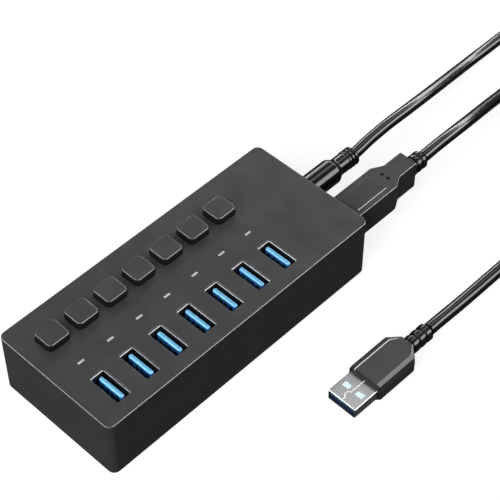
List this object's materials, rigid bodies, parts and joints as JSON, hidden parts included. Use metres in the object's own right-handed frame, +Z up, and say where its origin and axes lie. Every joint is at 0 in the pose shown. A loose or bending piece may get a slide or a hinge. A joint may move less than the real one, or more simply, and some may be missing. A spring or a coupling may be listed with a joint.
{
  "type": "usb hub",
  "caption": "Powered desktop USB hub: flat block with a row of upright sockets, indicator windows and push buttons, with its data cable and power adapter plugged in.",
  "frame": {"origin": "on the surface that the hub stands on, under the middle of its case", "axes": "+X along the case towards the cable end, +Y towards the row of buttons, +Z up"},
  "size_m": [0.359, 0.1185, 0.0288],
  "materials": {
    "case": "fine matte moulded plastic",
    "cover": "matte moulded plastic",
    "button": "fine matte moulded plastic",
    "foot_rubber": "soft rubber",
    "screw": "black zinc",
    "board": "green solder mask",
    "chip": "moulded epoxy",
    "shell_steel": "nickel-plated sheet",
    "tongue_blue": "moulded plastic",
    "insert_blue": "moulded plastic",
    "window": "frosted light pipe",
    "plug_grip": "satin overmoulding",
    "cord": "glossy PVC jacket",
    "adapter": "fine matte moulded plastic",
    "brass": "nickel-plated brass"
  },
  "bodies": {
    "hub": {"top_shell": "case", "bottom_cover": "cover", "cover_screw_1": "screw", "cover_screw_2": "screw", "cover_screw_3": "screw", "cover_screw_4": "screw", "foot_1": "foot_rubber", "foot_2": "foot_rubber", "foot_3": "foot_rubber", "foot_4": "foot_rubber", "circuit_board": "board", "hub_controller": "chip", "port_shell_1": "shell_steel", "port_tongue_1": "tongue_blue", "switch_1": "chip", "port_shell_2": "shell_steel", "port_tongue_2": "tongue_blue", "switch_2": "chip", "port_shell_3": "shell_steel", "port_tongue_3": "tongue_blue", "switch_3": "chip", "port_shell_4": "shell_steel", "port_tongue_4": "tongue_blue", "switch_4": "chip", "port_shell_5": "shell_steel", "port_tongue_5": "tongue_blue", "switch_5": "chip", "port_shell_6": "shell_steel", "port_tongue_6": "tongue_blue", "switch_6": "chip", "port_shell_7": "shell_steel", "port_tongue_7": "tongue_blue", "switch_7": "chip", "light_pipe": "window", "upstream_jack_shell": "shell_steel", "upstream_jack_insert": "tongue_blue", "power_jack": "chip"},
    "button_1": {"button_1": "button"},
    "button_2": {"button_2": "button"},
    "button_3": {"button_3": "button"},
    "button_4": {"button_4": "button"},
    "button_5": {"button_5": "button"},
    "button_6": {"button_6": "button"},
    "button_7": {"button_7": "button"},
    "data_cable": {"data_plug": "plug_grip", "data_plug_nose": "shell_steel", "data_cord_lead": "cord", "data_cord_coil": "cord", "data_cord_tail": "cord", "computer_plug": "plug_grip", "computer_plug_shell": "shell_steel", "computer_plug_insert": "insert_blue"},
    "power_cable": {"power_plug": "cord", "power_plug_barrel": "shell_steel", "power_cord_lead": "cord", "power_cord_coil": "cord", "power_cord_tail": "cord", "adapter": "adapter", "adapter_blade_1": "brass", "adapter_blade_2": "brass"}
  },
  "joints": [
    {"name": "press_1", "type": "slide", "parent": "hub", "child": "button_1", "axis": [0, 0, -1], "range_m": [0, 0.0018], "stiffness_N_per_m": 400, "springref_m": -0.0006},
    {"name": "press_2", "type": "slide", "parent": "hub", "child": "button_2", "axis": [0, 0, -1], "range_m": [0, 0.0018], "stiffness_N_per_m": 400, "springref_m": -0.0006},
    {"name": "press_3", "type": "slide", "parent": "hub", "child": "button_3", "axis": [0, 0, -1], "range_m": [0, 0.0018], "stiffness_N_per_m": 400, "springref_m": -0.0006},
    {"name": "press_4", "type": "slide", "parent": "hub", "child": "button_4", "axis": [0, 0, -1], "range_m": [0, 0.0018], "stiffness_N_per_m": 400, "springref_m": -0.0006},
    {"name": "press_5", "type": "slide", "parent": "hub", "child": "button_5", "axis": [0, 0, -1], "range_m": [0, 0.0018], "stiffness_N_per_m": 400, "springref_m": -0.0006},
    {"name": "press_6", "type": "slide", "parent": "hub", "child": "button_6", "axis": [0, 0, -1], "range_m": [0, 0.0018], "stiffness_N_per_m": 400, "springref_m": -0.0006},
    {"name": "press_7", "type": "slide", "parent": "hub", "child": "button_7", "axis": [0, 0, -1], "range_m": [0, 0.0018], "stiffness_N_per_m": 400, "springref_m": -0.0006},
    {"name": "data_plug_pull", "type": "slide", "parent": "hub", "child": "data_cable", "axis": [1, 0, 0], "range_m": [0, 0.011]},
    {"name": "power_plug_pull", "type": "slide", "parent": "hub", "child": "power_cable", "axis": [1, 0, 0], "range_m": [0, 0.012]}
  ]
}
